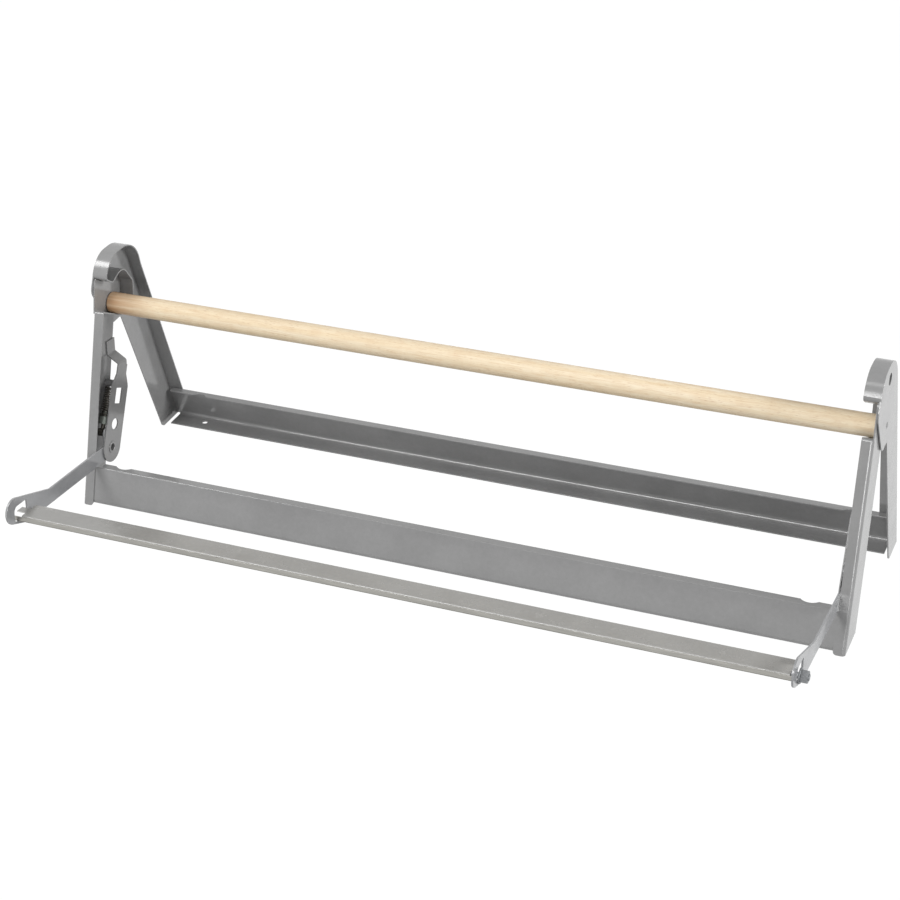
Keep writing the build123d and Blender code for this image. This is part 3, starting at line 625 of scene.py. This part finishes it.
def coil_tree():
    """Compression spring along +Z: turn by turn the wire climbs, slower over the closed end turns."""
    tree, length, radius, thickness, turns, closed = open_tree(
        "coil_spring", "Length", "Radius", "Wire", "Turns", "Closed"
    )
    inputs = {"Count": COIL_STEPS + 1, "Offset": (0.0, 0.0, 0.0)}
    line = add(tree, "GeometryNodeMeshLine", {"mode": "OFFSET"}, inputs).outputs["Mesh"]
    path = add(tree, "GeometryNodeMeshToCurve", {}, {"Mesh": line}).outputs["Curve"]
    share = maths(tree, "DIVIDE", add(tree, "GeometryNodeInputIndex").outputs["Index"], float(COIL_STEPS))
    all_turns = maths(tree, "MULTIPLY_ADD", closed, 2.0, turns)
    passed = maths(tree, "MULTIPLY", share, all_turns)
    angle = maths(tree, "MULTIPLY", passed, 2 * math.pi)
    x = maths(tree, "MULTIPLY", maths(tree, "COSINE", angle), radius)
    y = maths(tree, "MULTIPLY", maths(tree, "SINE", angle), radius)
    # Height: one wire's thickness a turn while closed, and the rest shared by the open turns
    closed_rise = maths(tree, "MULTIPLY", thickness, CLOSED_TURN_RISE)
    past_first = maths(tree, "SUBTRACT", passed, closed)
    first_part = maths(tree, "MINIMUM", passed, closed)
    open_part = maths(tree, "MINIMUM", maths(tree, "MAXIMUM", past_first, 0.0), turns)
    last_part = maths(tree, "MAXIMUM", maths(tree, "SUBTRACT", past_first, turns), 0.0)
    closed_height = maths(tree, "MULTIPLY", maths(tree, "ADD", first_part, last_part), closed_rise)
    both_ends = maths(tree, "MULTIPLY", maths(tree, "MULTIPLY", closed, closed_rise), 2.0)
    open_rise = maths(tree, "DIVIDE", maths(tree, "SUBTRACT", length, both_ends), turns)
    z = maths(tree, "MULTIPLY_ADD", open_part, open_rise, closed_height)
    where = add(tree, "ShaderNodeCombineXYZ", {}, {"X": x, "Y": y, "Z": z}).outputs["Vector"]
    inputs = {"Geometry": path, "Position": where}
    bent = add(tree, "GeometryNodeSetPosition", {}, inputs).outputs["Geometry"]
    section = circle(tree, thickness, WIRE_SIDES)
    inputs = {"Curve": bent, "Profile Curve": section, "Fill Caps": True}
    coiled = add(tree, "GeometryNodeCurveToMesh", {}, inputs).outputs["Mesh"]
    return close_tree(tree, coiled, spring_steel)


def thread_tree():
    """Thread crests along +Z: one ring for each pitch, as many as fit on the length."""
    tree, length, radius, pitch, depth = open_tree("stud_thread", "Length", "Radius", "Pitch", "Depth")
    count = maths(tree, "DIVIDE", length, pitch)
    whole = add(tree, "FunctionNodeFloatToInt", {"rounding_mode": "FLOOR"}, {"Float": count})
    step = add(tree, "ShaderNodeCombineXYZ", {}, {"Z": pitch}).outputs["Vector"]
    inputs = {"Count": whole.outputs["Integer"], "Offset": step}
    line = add(tree, "GeometryNodeMeshLine", {"mode": "OFFSET"}, inputs).outputs["Mesh"]
    inputs = {"Curve": circle(tree, radius, THREAD_SIDES), "Profile Curve": circle(tree, depth, CREST_SIDES)}
    crest = add(tree, "GeometryNodeCurveToMesh", {}, inputs).outputs["Mesh"]
    inputs = {"Points": line, "Instance": crest}
    crests = add(tree, "GeometryNodeInstanceOnPoints", {}, inputs).outputs["Instances"]
    return close_tree(tree, crests, zinc_plate)


def stood_along(thing, start, direction, side):
    """Turns a piece grown along +Z so that it runs from start along direction."""
    axis = Vector(direction).normalized()
    first = Vector(side)
    turn = Matrix((first, axis.cross(first), axis)).transposed().to_4x4()
    thing.data.transform(Matrix.Translation(Vector(start) * MM) @ turn)


coil = coil_tree()
span = math.dist(ANCHOR, CRANK)
along_spring = (0, (CRANK[0] - ANCHOR[0]) / span, (CRANK[1] - ANCHOR[1]) / span)
spring_length = span - SPRING_SEAT_GAP - SPRING_START
for side, sign in SIDES:
    spring = grown(f"coil_spring_{side}", coil, {
        "Length": spring_length * MM, "Radius": SPRING_RADIUS * MM, "Wire": SPRING_WIRE * MM,
        "Turns": SPRING_TURNS, "Closed": SPRING_CLOSED_TURNS,
    }, spring_steel)
    foot = Vector((sign * SPRING_LINE_X, *ANCHOR)) + Vector(along_spring) * SPRING_START
    stood_along(spring, foot, along_spring, (sign, 0, 0))
    # The spring turns with the seat that it stands on, so that it stays between its two ends
    place_piece(spring, f"{side}_seat", "spring", f"{side}_spring")

thread = grown("tension_stud_thread", thread_tree(), {
    "Length": (STUD_END - STUD_START) * MM, "Radius": THREAD_RING_RADIUS * MM,
    "Pitch": THREAD_PITCH * MM, "Depth": THREAD_DEPTH * MM,
}, zinc_plate)
stood_along(thread, (STUD_START + THREAD_RUNOUT, *from_arm(STUD_U, STUD_W)), (1, 0, 0), (0, 1, 0))
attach(thread, "cutter")


# Floor, light and camera

def seen_directly(tree):
    """One for rays from the camera, and for mirrored and transmitted ones, or else nothing."""
    rays = add(tree, "ShaderNodeLightPath").outputs
    shiny = maths(tree, "MAXIMUM", rays["Is Glossy Ray"], rays["Is Transmission Ray"])
    return maths(tree, "MAXIMUM", rays["Is Camera Ray"], shiny)


def blended(tree, share, first, second):
    """Two shaders in one, with that share of the second."""
    return add(tree, "ShaderNodeMixShader", {}, {0: share, 1: first, 2: second}).outputs[0]


def pale_floor():
    """Plain floor: white to the camera with a soft share of the shadow, mid grey to the object."""
    material = bpy.data.materials.new("pale_floor")
    material.use_nodes = True
    tree = material.node_tree
    tree.nodes.clear()
    matt = add(tree, "ShaderNodeBsdfDiffuse", {}, {"Color": linear("#A4A4A4")}).outputs[0]
    glow = add(tree, "ShaderNodeEmission", {}, {"Color": (1, 1, 1, 1), "Strength": FLOOR_GLOW}).outputs[0]
    surface = blended(tree, seen_directly(tree), matt, blended(tree, FLOOR_GLOW_SHARE, matt, glow))
    add(tree, "ShaderNodeOutputMaterial", {}, {"Surface": surface})
    return material


corners = [(x * FLOOR_REACH, y * FLOOR_REACH, 0) for x, y in ((-1, -1), (1, -1), (1, 1), (-1, 1))]
floor_mesh = bpy.data.meshes.new("floor")
floor_mesh.from_pydata(corners, [], [(0, 1, 2, 3)])
floor_mesh.materials.append(pale_floor())
floor = in_scene("floor", floor_mesh)

world = bpy.data.worlds.new("studio")
bpy.context.scene.world = world
world.use_nodes = True
sky = world.node_tree
sky.nodes.clear()
dome = add(sky, "ShaderNodeBackground", {}, {"Color": (1, 1, 1, 1), "Strength": DOME_STRENGTH}).outputs[0]
white = add(sky, "ShaderNodeBackground", {}, {"Color": (1, 1, 1, 1), "Strength": 1.0}).outputs[0]
add(sky, "ShaderNodeOutputWorld", {}, {"Surface": blended(sky, seen_directly(sky), dome, white)})


def softbox(name, place, size, power, along):
    """A rectangular studio light aimed at the object, its long side turned the given way."""
    lamp = bpy.data.lights.new(name, "AREA")
    lamp.shape = "RECTANGLE"
    lamp.size, lamp.size_y = size
    lamp.energy = power
    out = (Vector(place) - Vector(LAMP_TARGET)).normalized()
    long_side = (Vector(along) - out * out.dot(Vector(along))).normalized()
    facing = Matrix((long_side, out.cross(long_side), out)).transposed().to_4x4()
    in_scene(name, lamp).matrix_world = Matrix.Translation(Vector(place)) @ facing


for lamp_settings in LAMPS:
    softbox(*lamp_settings)

azimuth, elevation, roll = (math.radians(a) for a in (CAMERA_AZIMUTH, CAMERA_ELEVATION, CAMERA_ROLL))
level = Vector((math.cos(azimuth), math.sin(azimuth), 0))
outward = Vector((math.sin(azimuth), -math.cos(azimuth), 0))
back = outward * math.cos(elevation) + Vector((0, 0, math.sin(elevation)))
upward = back.cross(level)
camera_x = level * math.cos(roll) + upward * math.sin(roll)
camera_y = upward * math.cos(roll) - level * math.sin(roll)
camera = in_scene("camera", bpy.data.cameras.new("camera"))
camera.data.lens = CAMERA_LENS
camera.data.sensor_width = CAMERA_SENSOR
camera.data.clip_end = CAMERA_CLIP_END
turn = Matrix((camera_x, camera_y, back)).transposed().to_4x4()
camera.matrix_world = Matrix.Translation(Vector(CAMERA_PLACE) * MM) @ turn
bpy.context.scene.camera = camera
bpy.context.scene.view_settings.view_transform = "Standard"
